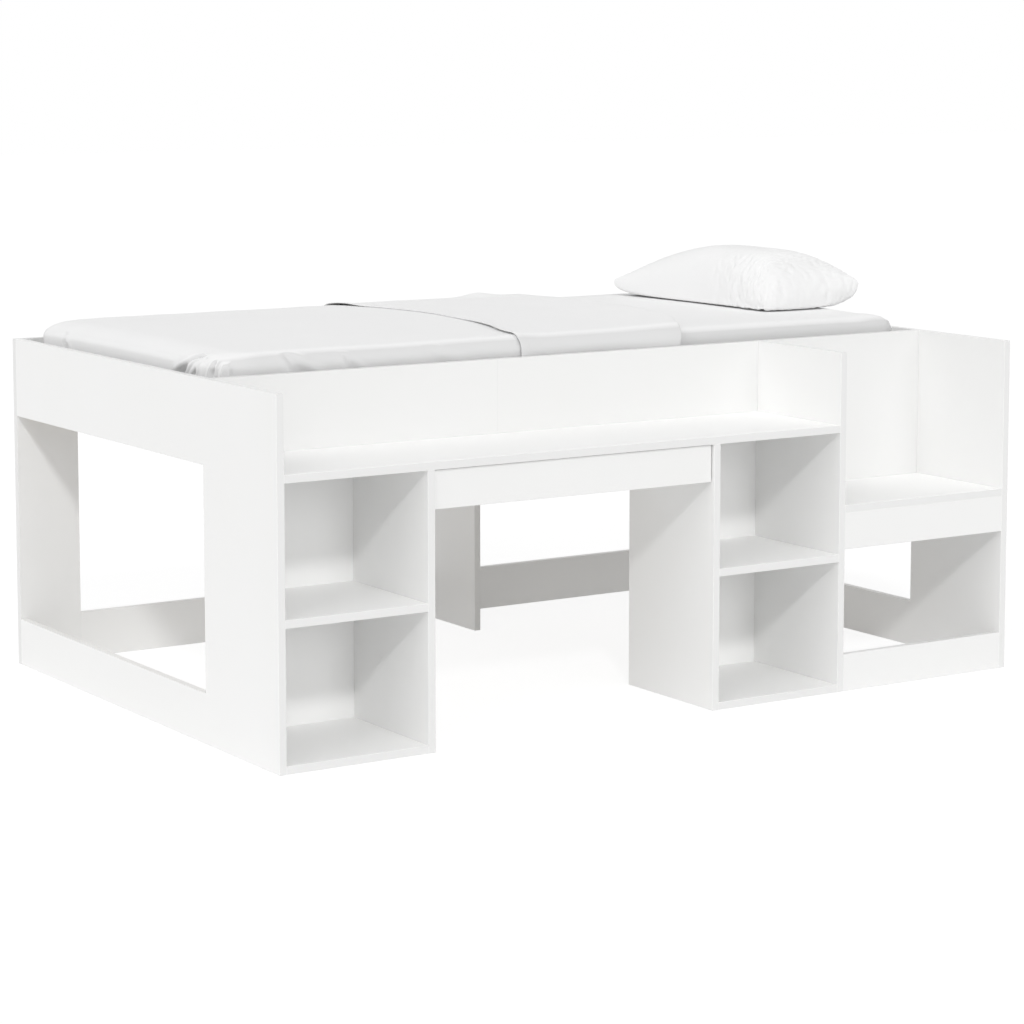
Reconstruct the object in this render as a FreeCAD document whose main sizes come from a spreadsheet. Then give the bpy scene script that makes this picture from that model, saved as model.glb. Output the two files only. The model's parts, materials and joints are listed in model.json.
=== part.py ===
import FreeCAD, Part
import os
import re

# A half-height storage bed in white board: two end panels with a wide front post,
# a desk top on two open shelf towers with a shallow drawer between them, a bench
# beside the desk, two rails and a middle leg at the back, and a slatted bed base
# that carries a made-up mattress.
#
# Formulas below measure from the front left corner on the floor: x along the bed,
# y to the back, z up. Every piece is then placed so that the middle of the floor
# area is the origin.

SIZES = [
    ("length", 2040, "overall length over the end panels"),
    ("depth", 1368, "front edges to the back of the back boards"),
    ("height", 816, "top of the end panels, guard boards and back rail"),
    ("board", 18, "thickness of the main boards"),
    ("back_board", 12, "thickness of the tower backs"),
    ("edge_ease", 0.6, "chamfer on the edges of the boards"),
    ("rail_bottom", 625, "underside of top rails, guard boards and desk"),
    ("low_rail", 115, "height of the rails on the floor"),
    ("tower_inner", 352, "clear width of a shelf tower"),
    ("tower_depth", 340, "depth of front posts and dividers"),
    ("shelf_under", 315, "underside of the middle shelves"),
    ("guard_seam", 754, "where the two guard boards meet"),
    ("bench_inner", 494, "clear width of the bench"),
    ("seat_top", 450, "height of the bench seat"),
    ("apron_height", 88, "board under the bench seat"),
    ("bench_rail_height", 90, "board on the floor under the bench"),
    ("back_post", 163, "width of the posts at the back corners"),
    ("leg_place", 1177, "left face of the middle leg at the back"),
    ("leg_depth", 250, "depth of the middle leg"),
    ("cleat_width", 30, "slat cleat, front to back"),
    ("cleat_height", 30, "slat cleat, height"),
    ("slat_count", 13, "number of slats"),
    ("slat_width", 70, "width of a slat"),
    ("slat_thick", 15, "thickness of a slat"),
    ("slat_end", 20, "end panel to the first slat"),
    ("slat_gap", 2, "room at each end of a slat"),
    ("front_height", 86, "height of the drawer front"),
    ("front_recess", 8, "drawer front behind the divider edges"),
    ("front_gap", 3, "gap beside the drawer front"),
    ("front_top_gap", 2, "gap between drawer front and desk"),
    ("box_lift", 8, "drawer box above the lower edge of its front"),
    ("box_height", 62, "height of the drawer sides and back"),
    ("box_depth", 280, "length of the drawer sides"),
    ("box_board", 12, "thickness of the drawer sides and back"),
    ("box_bottom", 4, "thickness of the drawer bottom"),
    ("bottom_lift", 4, "drawer bottom above the lower edge of the sides"),
    ("runner_space", 13, "divider to drawer side"),
    ("runner_depth", 10, "depth of one runner rail"),
    ("runner_height", 35, "height of the fixed runner rail"),
    ("runner_wall", 1.5, "metal thickness of the runners"),
    ("runner_play", 0.5, "clearance between the two rails"),
    ("runner_start", 30, "front end of the runners"),
    ("runner_fixed", 290, "length of the fixed rail"),
    ("runner_moving", 270, "length of the moving rail"),
    ("dowel_bore", 8, "diameter of a dowel"),
    ("dowel_long", 24, "length of a dowel"),
    ("dowel_inset", 50, "dowels from the edges of wide boards"),
    ("rail_inset", 40, "dowels from the edges of upper rails"),
    ("tall_inset", 60, "dowels from the edges of the bench back"),
    ("low_inset", 25, "dowels from the edges of narrow boards"),
    ("box_inset", 16, "dowels from the edges of the drawer sides"),
    ("leg_inset", 8, "dowel at the top of the leg from the back boards"),
    ("fit", 0.2, "clearance around a fastener"),
    ("end_room", 1, "room past the end of a fastener"),
    ("bolt_size", 6, "diameter of a corner bolt"),
    ("bolt_long", 60, "length of a corner bolt under its head"),
    ("bolt_head", 13, "diameter of a bolt head"),
    ("bolt_head_high", 3.5, "height of a bolt head"),
    ("bolt_sink", 4, "depth of the bolt head's recess"),
    ("nut_size", 10, "diameter of a barrel nut"),
    ("nut_long", 14, "length of a barrel nut"),
    ("nut_place", 34, "barrel nut from the edge of its panel"),
    ("screw_size", 4, "diameter of a screw"),
    ("screw_head", 8, "diameter of a screw head"),
    ("screw_head_high", 2.8, "height of a screw head"),
    ("screw_sink", 3, "depth of a slat screw's recess"),
    ("cleat_screw", 40, "length of a cleat screw"),
    ("cleat_inset", 80, "cleat screws from the ends of a board"),
    ("cleat_step", 600, "inner cleat screws from the ends of the back rail"),
    ("slat_screw", 26, "length of a slat screw"),
    ("runner_screw", 12, "length of a screw in a divider"),
    ("box_screw", 9, "length of a screw in a drawer side"),
    ("runner_inset", 30, "screws from the ends of a runner"),
    ("soft_gap", 0.5, "room between soft pieces and what they lie on"),
    ("foot_gap", 34, "end panel to the foot of the mattress"),
    ("head_gap", 30, "head of the mattress to the other end panel"),
    ("front_room", 22, "guard boards to the mattress"),
    ("back_room", 20, "mattress to the back boards"),
    ("mattress_high", 180, "height of the mattress at its edge"),
    ("mattress_crown", 6, "rise of the mattress towards its middle"),
    ("shoulder", 44, "rounding along the upper edges of the mattress"),
    ("draw_in", 10, "how far the mattress draws in at its base"),
    ("blanket_thick", 10, "thickness of the blanket"),
    ("blanket_short", 582, "head of the mattress to the blanket's fold"),
    ("blanket_drop", 90, "how far the blanket hangs beside the mattress"),
    ("turn_thick", 8, "thickness of the turned-down part"),
    ("turn_wide", 485, "width of the turned-down part"),
    ("turn_drop", 70, "how far the turned-down part hangs"),
    ("pillow_wide", 320, "pillow across, along the bed"),
    ("pillow_long", 674, "pillow from side to side of the bed"),
    ("pillow_high", 150, "height of the pillow"),
    ("pillow_rise", 45, "seam of the pillow above what it lies on"),
    ("pillow_seam", 10, "thickness of the pillow along its seam"),
    ("pillow_head", 8, "end panel to the pillow"),
    ("pillow_side", 213, "guard boards to the pillow"),
]

doc = FreeCAD.newDocument("storage_bed")
sheet = doc.addObject("Spreadsheet::Sheet", "Sizes")
for row, (alias, value, note) in enumerate(SIZES, 1):
    sheet.set("A%d" % row, note)
    sheet.set("B%d" % row, str(value))
    sheet.setAlias("B%d" % row, alias)
doc.recompute()

# Planes that several pieces share, as formulas.
RIGHT_IN = "(length - board)"
LEFT_DIVIDER = "(board + tower_inner)"
KNEE_LEFT = "(board + tower_inner + board)"
BENCH_LEFT = "(length - board - bench_inner)"
BENCH_DIVIDER = "(length - 2*board - bench_inner)"
RIGHT_TOWER = "(length - 2*board - bench_inner - tower_inner)"
KNEE_RIGHT = "(length - 3*board - bench_inner - tower_inner)"
GUARD_FRONT = "(tower_depth - board)"
TOWER_BACK = "(tower_depth - back_board)"
BACK_FRONT = "(depth - board)"
RAIL_HEIGHT = "(height - rail_bottom)"
SEAT_UNDER = "(seat_top - board)"
SLAT_LEVEL = "(rail_bottom + cleat_height)"
SLAT_PITCH = "((length - 2*board - 2*slat_end - slat_width)/(slat_count - 1))"
FRONT_LOW = "(rail_bottom - front_top_gap - front_height)"
BOX_LEFT = "(%s + runner_space)" % KNEE_LEFT
BOX_RIGHT = "(%s - runner_space)" % KNEE_RIGHT
BOX_FRONT = "(front_recess + board)"
BOX_LOW = "(%s + box_lift)" % FRONT_LOW
RUNNER_MIDDLE = "(%s + box_height/2)" % BOX_LOW

TURNS = {
    "x": FreeCAD.Rotation(FreeCAD.Vector(0, 1, 0), 90),
    "y": FreeCAD.Rotation(FreeCAD.Vector(1, 0, 0), -90),
    "z": FreeCAD.Rotation(),
}
AXES = "xyz"

nodes = []
corners = {}


def bound(formula):
    """The formula with each size named in its sheet."""
    return re.sub(r"[a-z][a-z_]+", lambda word: "Sizes." + word.group(0), formula)


def bind(item, **formulas):
    for name, formula in formulas.items():
        item.setExpression(name, bound(formula))


def move(item, at):
    """Tie the item's place to three formulas."""
    for name, formula in zip(AXES, at):
        item.setExpression("Placement.Base." + name, bound(formula))


def from_middle(at):
    """Formulas from the corner on the floor, measured from the middle instead."""
    return ("%s - length/2" % at[0], "%s - depth/2" % at[1], at[2])


def along(axis, at, step):
    """The formulas of a point moved along one axis."""
    return tuple("(%s) + (%s)" % (f, step) if name == axis else f for name, f in zip(AXES, at))


def block(label, at, size, opening=None, eased=True):
    """A board as a body: a box, an opening cut through it, and eased edges."""
    body = doc.addObject("PartDesign::Body", label)
    body.Label = label
    shape = body.newObject("PartDesign::AdditiveBox", label + "_blank")
    bind(shape, Length=size[0], Width=size[1], Height=size[2])
    if opening:
        shape = body.newObject("PartDesign::SubtractiveBox", label + "_opening")
        bind(shape, Length=opening[1][0], Width=opening[1][1], Height=opening[1][2])
        move(shape, ["(%s) - (%s)" % pair for pair in zip(opening[0], at)])
    if eased:
        doc.recompute()
        ease = body.newObject("PartDesign::Chamfer", label + "_ease")
        ease.Base = (shape, ["Edge1"])
        ease.UseAllEdges = True
        bind(ease, Size="edge_ease")
    move(body, from_middle(at))
    corners[label] = at
    nodes.append(body)
    return body


def drill(label, axis, at, radius, deep):
    """A round hole in a board, from a point along an axis."""
    body = doc.getObject(label)
    hole = body.newObject("PartDesign::SubtractiveCylinder", label + "_hole")
    bind(hole, Radius=radius, Height=deep)
    hole.Placement.Rotation = TURNS[axis]
    move(hole, ["(%s) - (%s)" % pair for pair in zip(at, corners[label])])


def rod(name, axis, at, radius, long):
    """A loose cylinder, from a point along an axis."""
    item = doc.addObject("Part::Cylinder", name)
    bind(item, Radius=radius, Height=long)
    item.Placement.Rotation = TURNS[axis]
    move(item, from_middle(at))
    return item


def group(label, items):
    """Identical fasteners as one node of separate solids."""
    node = doc.addObject("Part::Compound", label)
    node.Label = label
    node.Links = items
    nodes.append(node)


# Boards of the bed frame.
def end_panel(label, x):
    at = (x, "0", "0")
    cut_at = (x, "tower_depth", "low_rail")
    cut_size = ("board", BACK_FRONT + " - tower_depth", "rail_bottom - low_rail")
    block(label, at, ("board", BACK_FRONT, "height"), (cut_at, cut_size))


end_panel("left_end_panel", "0")
end_panel("right_end_panel", RIGHT_IN)
block("left_back_post", ("0", BACK_FRONT, "0"), ("back_post", "board", "height"))
block("right_back_post", ("length - back_post", BACK_FRONT, "0"), ("back_post", "board", "height"))
BACK_SPAN = "length - 2*back_post"
block("back_upper_rail", ("back_post", BACK_FRONT, "rail_bottom"), (BACK_SPAN, "board", RAIL_HEIGHT))
block("back_lower_rail", ("back_post", BACK_FRONT, "0"), (BACK_SPAN, "board", "low_rail"))
block("back_leg", ("leg_place", BACK_FRONT + " - leg_depth", "0"), ("board", "leg_depth", "rail_bottom"))

# Dividers, desk and guard boards.
block("left_tower_divider", (LEFT_DIVIDER, "0", "0"), ("board", "tower_depth", "rail_bottom"))
block("right_tower_divider", (KNEE_RIGHT, "0", "0"), ("board", "tower_depth", "rail_bottom"))
block("bench_divider", (BENCH_DIVIDER, "0", "0"), ("board", "tower_depth", "height"))
block("desk_top", ("board", "0", "rail_bottom"), (BENCH_DIVIDER + " - board", GUARD_FRONT, "board"))
block("left_guard_board", ("board", GUARD_FRONT, "rail_bottom"), ("guard_seam - board", "board", RAIL_HEIGHT))
RIGHT_GUARD = (BENCH_DIVIDER + " - guard_seam", "board", RAIL_HEIGHT)
block("right_guard_board", ("guard_seam", GUARD_FRONT, "rail_bottom"), RIGHT_GUARD)


# Shelf towers.
def tower(side, x):
    floor = ("tower_inner", TOWER_BACK, "board")
    rear = ("tower_inner", "back_board", "rail_bottom")
    block(side + "_tower_bottom", (x, "0", "0"), floor)
    block(side + "_tower_shelf", (x, "0", "shelf_under"), floor)
    block(side + "_tower_back", (x, TOWER_BACK, "0"), rear, eased=False)


tower("left", "board")
tower("right", RIGHT_TOWER)

# Bench.
block("bench_seat", (BENCH_LEFT, "0", SEAT_UNDER), ("bench_inner", GUARD_FRONT, "board"))
block("bench_back", (BENCH_LEFT, GUARD_FRONT, SEAT_UNDER), ("bench_inner", "board", "height - " + SEAT_UNDER))
APRON = ("bench_inner", "board", "apron_height")
block("bench_apron", (BENCH_LEFT, "0", SEAT_UNDER + " - apron_height"), APRON)
block("bench_rail", (BENCH_LEFT, "0", "0"), ("bench_inner", "board", "bench_rail_height"))

# Bed base.
CLEAT = ("length - 2*board", "cleat_width", "cleat_height")
block("front_slat_cleat", ("board", "tower_depth", "rail_bottom"), CLEAT)
block("back_slat_cleat", ("board", BACK_FRONT + " - cleat_width", "rail_bottom"), CLEAT)
slat_labels = ["slat_%02d" % (n + 1) for n in range(int(sheet.slat_count))]
SLAT_SIZE = ("slat_width", BACK_FRONT + " - tower_depth - 2*slat_gap", "slat_thick")
for number, label in enumerate(slat_labels):
    slat_x = "board + slat_end + %d*%s" % (number, SLAT_PITCH)
    block(label, (slat_x, "tower_depth + slat_gap", SLAT_LEVEL), SLAT_SIZE)

# Drawer box.
FRONT_SIZE = ("%s - %s - 2*front_gap" % (KNEE_RIGHT, KNEE_LEFT), "board", "front_height")
block("drawer_front", (KNEE_LEFT + " + front_gap", "front_recess", FRONT_LOW), FRONT_SIZE)
BOX_SIDE = ("box_board", "box_depth", "box_height")
block("drawer_left_side", (BOX_LEFT, BOX_FRONT, BOX_LOW), BOX_SIDE)
block("drawer_right_side", (BOX_RIGHT + " - box_board", BOX_FRONT, BOX_LOW), BOX_SIDE)
BOX_IN = BOX_LEFT + " + box_board"
BOX_CLEAR = "%s - %s - 2*box_board" % (BOX_RIGHT, BOX_LEFT)
BOX_REAR = BOX_FRONT + " + box_depth - box_board"
block("drawer_back", (BOX_IN, BOX_REAR, BOX_LOW), (BOX_CLEAR, "box_board", "box_height"))
BOTTOM_SIZE = (BOX_CLEAR, "box_depth - box_board", "box_bottom")
block("drawer_bottom", (BOX_IN, BOX_FRONT, BOX_LOW + " + bottom_lift"), BOTTOM_SIZE, eased=False)


# Drawer runners: two channels that face each other, one inside the other.
def runner(label, x, open_x, high, long):
    """A channel along y, open towards the side where open_x starts."""
    at = (x, "runner_start", "%s - (%s)/2" % (RUNNER_MIDDLE, high))
    groove_at = (open_x, "runner_start", "%s - (%s)/2 + runner_wall" % (RUNNER_MIDDLE, high))
    groove = ("runner_depth - runner_wall", long, "%s - 2*runner_wall" % high)
    block(label, at, ("runner_depth", long, high), (groove_at, groove), eased=False)


INNER_HIGH = "runner_height - 2*runner_wall - 2*runner_play"
runner("left_cabinet_runner", KNEE_LEFT, KNEE_LEFT + " + runner_wall", "runner_height", "runner_fixed")
RIGHT_CHANNEL = KNEE_RIGHT + " - runner_depth"
runner("right_cabinet_runner", RIGHT_CHANNEL, RIGHT_CHANNEL, "runner_height", "runner_fixed")
LEFT_SLIDER = BOX_LEFT + " - runner_depth"
runner("left_drawer_runner", LEFT_SLIDER, LEFT_SLIDER, INNER_HIGH, "runner_moving")
runner("right_drawer_runner", BOX_RIGHT, BOX_RIGHT + " + runner_wall", INNER_HIGH, "runner_moving")

# Dowels: each bores the two boards that it joins and lies across their joint.
DOWEL_RADIUS = "dowel_bore/2"
DOWEL_REACH = "dowel_long/2 + end_room"


def dowel(name, first, second, axis, centre):
    start = along(axis, centre, "-(%s)" % DOWEL_REACH)
    for label in (first, second):
        drill(label, axis, start, DOWEL_RADIUS + " + fit", "2*(%s)" % DOWEL_REACH)
    return rod(name, axis, along(axis, centre, "-dowel_long/2"), DOWEL_RADIUS, "dowel_long")


def end_joints(label, ends, points):
    """Dowels along x between a board's ends and what stands there."""
    return [
        dowel("dowel", label, neighbour, "x", (plane, y, z))
        for neighbour, plane in ends
        for y, z in points
    ]


def flat_points(rear, z):
    """Two dowels in the end of a lying board."""
    return [("dowel_inset", z), ("%s - dowel_inset" % rear, z)]


def upright_points(y, low, high, inset):
    """Two dowels in the end of a standing board."""
    return [(y, "%s + %s" % (low, inset)), (y, "%s - %s" % (high, inset))]


LEFT_TOWER_ENDS = [("left_end_panel", "board"), ("left_tower_divider", LEFT_DIVIDER)]
RIGHT_TOWER_ENDS = [("right_tower_divider", RIGHT_TOWER), ("bench_divider", BENCH_DIVIDER)]
BENCH_ENDS = [("bench_divider", BENCH_LEFT), ("right_end_panel", RIGHT_IN)]
BACK_ENDS = [("left_back_post", "back_post"), ("right_back_post", "length - back_post")]
DESK_ENDS = [("left_end_panel", "board"), ("bench_divider", BENCH_DIVIDER)]
GUARD_MIDDLE = GUARD_FRONT + " + board/2"
BACK_MIDDLE = BACK_FRONT + " + board/2"
guard_points = upright_points(GUARD_MIDDLE, "rail_bottom", "height", "rail_inset")

dowels = []
for side, ends in (("left", LEFT_TOWER_ENDS), ("right", RIGHT_TOWER_ENDS)):
    dowels += end_joints(side + "_tower_bottom", ends, flat_points(TOWER_BACK, "board/2"))
    dowels += end_joints(side + "_tower_shelf", ends, flat_points(TOWER_BACK, "shelf_under + board/2"))
dowels += end_joints("desk_top", DESK_ENDS, flat_points(GUARD_FRONT, "rail_bottom + board/2"))
dowels += end_joints("left_guard_board", [("left_end_panel", "board")], guard_points)
dowels += end_joints("left_guard_board", [("right_guard_board", "guard_seam")], guard_points)
dowels += end_joints("right_guard_board", [("bench_divider", BENCH_DIVIDER)], guard_points)
dowels += end_joints("bench_seat", BENCH_ENDS, flat_points(GUARD_FRONT, "seat_top - board/2"))
bench_back_points = upright_points(GUARD_MIDDLE, SEAT_UNDER, "height", "tall_inset")
dowels += end_joints("bench_back", BENCH_ENDS, bench_back_points)
apron_points = upright_points("board/2", SEAT_UNDER + " - apron_height", SEAT_UNDER, "low_inset")
dowels += end_joints("bench_apron", BENCH_ENDS, apron_points)
bench_rail_points = upright_points("board/2", "0", "bench_rail_height", "low_inset")
dowels += end_joints("bench_rail", BENCH_ENDS, bench_rail_points)
upper_points = upright_points(BACK_MIDDLE, "rail_bottom", "height", "rail_inset")
dowels += end_joints("back_upper_rail", BACK_ENDS, upper_points)
lower_points = upright_points(BACK_MIDDLE, "0", "low_rail", "low_inset")
dowels += end_joints("back_lower_rail", BACK_ENDS, lower_points)
for label, x in (("left_tower_divider", LEFT_DIVIDER), ("right_tower_divider", KNEE_RIGHT)):
    for y, z in flat_points(GUARD_FRONT, "rail_bottom"):
        dowels.append(dowel("dowel", label, "desk_top", "z", (x + " + board/2", y, z)))
LEG_MIDDLE = "leg_place + board/2"
for z in ("low_inset", "low_rail - low_inset"):
    dowels.append(dowel("dowel", "back_leg", "back_lower_rail", "y", (LEG_MIDDLE, BACK_FRONT, z)))
leg_head = (LEG_MIDDLE, BACK_FRONT + " - leg_inset", "rail_bottom")
dowels.append(dowel("dowel", "back_leg", "back_slat_cleat", "z", leg_head))
group("dowels", dowels)

box_dowels = []
for side, x in (("left", BOX_LEFT), ("right", BOX_RIGHT + " - box_board")):
    label = "drawer_%s_side" % side
    middle = x + " + box_board/2"
    for z in (BOX_LOW + " + box_inset", BOX_LOW + " + box_height - box_inset"):
        box_dowels.append(dowel("box_dowel", label, "drawer_front", "y", (middle, BOX_FRONT, z)))
group("drawer_dowels", box_dowels)


# Corner bolts through the back posts, each into a barrel nut in an end panel.
def corner_bolt(post, panel, x, nut_start, z):
    """A bolt with its head sunk in the post, and the nut that it enters."""
    seat = "depth - bolt_sink"
    tip = (x, seat + " - bolt_long", z)
    drill(post, "y", (x, seat, z), "bolt_head/2 + fit", "bolt_sink")
    for label in (post, panel):
        reach = along("y", tip, "-end_room")
        drill(label, "y", reach, "bolt_size/2 + fit", "bolt_long + end_room")
    shank = rod("bolt_shank", "y", tip, "bolt_size/2", "bolt_long")
    head = rod("bolt_cap", "y", (x, seat, z), "bolt_head/2", "bolt_head_high")
    bolt = doc.addObject("Part::Fuse", "corner_bolt")
    bolt.Base, bolt.Tool = shank, head
    nut_at = (nut_start, BACK_FRONT + " - nut_place", z)
    drill(panel, "x", nut_at, "nut_size/2 + fit", "nut_long")
    thread = (x, nut_at[1] + " - nut_size", z)
    nut = doc.addObject("Part::Cut", "barrel_nut")
    nut.Base = rod("nut_body", "x", nut_at, "nut_size/2", "nut_long")
    nut.Tool = rod("nut_thread", "y", thread, "bolt_size/2 + fit", "2*nut_size")
    return bolt, nut


fittings = []
for z in ("low_rail/2", "rail_bottom + rail_inset", "height - rail_inset"):
    fittings.append(corner_bolt("left_back_post", "left_end_panel", "board/2", "board - nut_long", z))
    right_middle = RIGHT_IN + " + board/2"
    fittings.append(corner_bolt("right_back_post", "right_end_panel", right_middle, RIGHT_IN, z))
group("corner_bolts", [bolt for bolt, nut in fittings])
group("barrel_nuts", [nut for bolt, nut in fittings])


# Screws: a round head on the face that it clamps, and a shank through two pieces.
def screw(axis, sign, face, long, pieces):
    """A screw driven from a face, towards plus or minus along an axis."""
    tip_room = "%s + end_room" % long
    shank_at = face if sign > 0 else along(axis, face, "-(%s)" % long)
    bore_at = face if sign > 0 else along(axis, face, "-(%s)" % tip_room)
    head_at = along(axis, face, "-screw_head_high") if sign > 0 else face
    for label in pieces:
        drill(label, axis, bore_at, "screw_size/2 + fit", tip_room)
    item = doc.addObject("Part::Fuse", "screw")
    item.Base = rod("screw_shank", axis, shank_at, "screw_size/2", long)
    item.Tool = rod("screw_cap", axis, head_at, "screw_head/2", "screw_head_high")
    return item


CLEAT_MIDDLE = "rail_bottom + cleat_height/2"
FRONT_CLEAT_FACE = "tower_depth + cleat_width"
BACK_CLEAT_FACE = BACK_FRONT + " - cleat_width"
cleat_screws = []
for label, left, right in (
    ("left_guard_board", "board", "guard_seam"),
    ("right_guard_board", "guard_seam", BENCH_DIVIDER),
    ("bench_back", BENCH_LEFT, RIGHT_IN),
):
    for x in (left + " + cleat_inset", right + " - cleat_inset"):
        face = (x, FRONT_CLEAT_FACE, CLEAT_MIDDLE)
        cleat_screws.append(screw("y", -1, face, "cleat_screw", ("front_slat_cleat", label)))
for inset in ("cleat_inset", "cleat_step"):
    for x in ("back_post + " + inset, "length - back_post - " + inset):
        face = (x, BACK_CLEAT_FACE, CLEAT_MIDDLE)
        cleat_screws.append(screw("y", 1, face, "cleat_screw", ("back_slat_cleat", "back_upper_rail")))
group("cleat_screws", cleat_screws)

slat_screws = []
for number, label in enumerate(slat_labels):
    x = "board + slat_end + slat_width/2 + %d*%s" % (number, SLAT_PITCH)
    for cleat, y in (
        ("front_slat_cleat", "tower_depth + cleat_width/2"),
        ("back_slat_cleat", BACK_FRONT + " - cleat_width/2"),
    ):
        seat_at = (x, y, SLAT_LEVEL + " + slat_thick - screw_sink")
        drill(label, "z", seat_at, "screw_head/2 + fit", "screw_sink")
        slat_screws.append(screw("z", -1, seat_at, "slat_screw", (label, cleat)))
group("slat_screws", slat_screws)

RUNNER_ENDS = ("runner_start + runner_inset", "runner_start + runner_fixed - runner_inset")
SLIDER_ENDS = ("runner_start + 2*runner_inset", "runner_start + runner_moving - runner_inset")
runner_screws = []
for y in RUNNER_ENDS:
    face = (KNEE_LEFT + " + runner_wall", y, RUNNER_MIDDLE)
    pieces = ("left_cabinet_runner", "left_tower_divider")
    runner_screws.append(screw("x", -1, face, "runner_screw", pieces))
    face = (KNEE_RIGHT + " - runner_wall", y, RUNNER_MIDDLE)
    pieces = ("right_cabinet_runner", "right_tower_divider")
    runner_screws.append(screw("x", 1, face, "runner_screw", pieces))
group("runner_screws", runner_screws)
box_screws = []
for y in SLIDER_ENDS:
    face = (BOX_LEFT + " - runner_wall", y, RUNNER_MIDDLE)
    pieces = ("left_drawer_runner", "drawer_left_side")
    box_screws.append(screw("x", 1, face, "box_screw", pieces))
    face = (BOX_RIGHT + " + runner_wall", y, RUNNER_MIDDLE)
    pieces = ("right_drawer_runner", "drawer_right_side")
    box_screws.append(screw("x", -1, face, "box_screw", pieces))
group("drawer_screws", box_screws)


# Bedding: lofts through sections of lines and arcs.
def point(x, y, z):
    return FreeCAD.Vector(x, y, z)


def section(x, across, low, top, corner):
    """A cushion cut across: flat base, sloping sides, round shoulders, crowned top."""
    front, back = across
    crown = sheet.mattress_crown
    tuck = sheet.draw_in
    bend = corner * (1 - 0.5 ** 0.5)
    middle = (front + back) / 2
    side = top - corner
    path = [
        Part.LineSegment(point(x, back - tuck, low), point(x, front + tuck, low)),
        Part.LineSegment(point(x, front + tuck, low), point(x, front, side)),
        Part.Arc(point(x, front, side), point(x, front + bend, top - bend), point(x, front + corner, top)),
        Part.Arc(point(x, front + corner, top), point(x, middle, top + crown), point(x, back - corner, top)),
        Part.Arc(point(x, back - corner, top), point(x, back - bend, top - bend), point(x, back, side)),
        Part.LineSegment(point(x, back, side), point(x, back - tuck, low)),
    ]
    return Part.Wire([piece.toShape() for piece in path])


def cushion(grow, low):
    """The mattress form grown outwards by a distance, from a level up."""
    foot = sheet.board + sheet.foot_gap - grow
    head = mattress_head + grow
    front = sheet.tower_depth + sheet.front_room - grow
    back = sheet.depth - sheet.board - sheet.back_room + grow
    top = mattress_base + sheet.mattress_high + grow
    corner = sheet.shoulder
    # The ends round over in three steps: distance in from the end, and the drop there.
    steps = [(0, 0.72), (0.3, 0.28), (1, 0)]
    stations = [(foot + run * corner, fall * corner) for run, fall in steps]
    stations += [(head - run * corner, fall * corner) for run, fall in reversed(steps)]
    wires = []
    for x, fall in stations:
        narrow = 0.6 * fall
        across = (front + narrow, back - narrow)
        wires.append(section(x, across, low, top - fall, corner))
    return Part.makeLoft(wires, True, True)


def slab(start, end):
    """A box across the whole bed between two distances from the foot."""
    wide = sheet.depth
    tall = 2 * sheet.height
    return Part.makeBox(end - start, wide, tall, point(start, 0, 0))


def soft(label, shape):
    node = doc.addObject("Part::Feature", label)
    node.Label = label
    node.Shape = shape
    node.Placement.Base = point(-sheet.length / 2, -sheet.depth / 2, 0)
    nodes.append(node)


mattress_head = sheet.length - sheet.board - sheet.head_gap
mattress_base = sheet.rail_bottom + sheet.cleat_height + sheet.slat_thick + sheet.soft_gap
mattress_edge = mattress_base + sheet.mattress_high
mattress_top = mattress_edge + sheet.mattress_crown
soft("mattress", cushion(0, mattress_base))

blanket_out = sheet.soft_gap + sheet.blanket_thick
blanket_low = mattress_edge - sheet.blanket_drop
blanket = cushion(blanket_out, blanket_low).cut(cushion(sheet.soft_gap, mattress_base))
blanket_fold = mattress_head - sheet.blanket_short
soft("blanket", blanket.common(slab(0, blanket_fold)))

turn_in = blanket_out + sheet.soft_gap
turn_low = mattress_edge - sheet.turn_drop
turn_down = cushion(turn_in + sheet.turn_thick, turn_low).cut(cushion(turn_in, mattress_base))
soft("blanket_turndown", turn_down.common(slab(blanket_fold - sheet.turn_wide, blanket_fold)))


def pillow_section(y, wide, full):
    """A pillow cut along the bed: a full arc above, a flat arc below, joined at the seam."""
    middle = sheet.length - sheet.board - sheet.pillow_head - sheet.pillow_wide / 2
    seam = mattress_top + sheet.soft_gap + sheet.pillow_rise
    crest = seam + full * (sheet.pillow_high - sheet.pillow_rise)
    belly = seam - full * sheet.pillow_rise
    left = middle - wide / 2
    right = middle + wide / 2
    half_seam = sheet.pillow_seam / 2
    top_left = point(left, y, seam + half_seam)
    top_right = point(right, y, seam + half_seam)
    low_left = point(left, y, seam - half_seam)
    low_right = point(right, y, seam - half_seam)
    path = [
        Part.Arc(top_left, point(middle, y, crest), top_right),
        Part.LineSegment(top_right, low_right),
        Part.Arc(low_right, point(middle, y, belly), low_left),
        Part.LineSegment(low_left, top_left),
    ]
    return Part.Wire([piece.toShape() for piece in path])


# Share of the pillow's length, width and fullness at each section. Its sides draw in
# between the corners, and its front end is fuller than its back end.
PILLOW_SHARES = [
    (0.00, 1.00, 0.16),
    (0.06, 0.97, 0.58),
    (0.16, 0.95, 0.86),
    (0.32, 0.94, 0.98),
    (0.50, 0.93, 1.00),
    (0.68, 0.94, 0.86),
    (0.84, 0.95, 0.60),
    (0.94, 0.97, 0.35),
    (1.00, 1.00, 0.14),
]
pillow_wires = [
    pillow_section(
        sheet.tower_depth + sheet.pillow_side + share * sheet.pillow_long,
        wide * sheet.pillow_wide,
        full,
    )
    for share, wide, full in PILLOW_SHARES
]
soft("pillow", Part.makeLoft(pillow_wires, True, True))

doc.recompute()
for item in doc.Objects:
    if "Invalid" in item.State or "Error" in item.State:
        raise RuntimeError("%s failed to build" % item.Label)
for node in nodes:
    if node.Shape.isNull() or not node.Shape.isValid():
        raise RuntimeError("%s has no valid shape" % node.Label)

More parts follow.
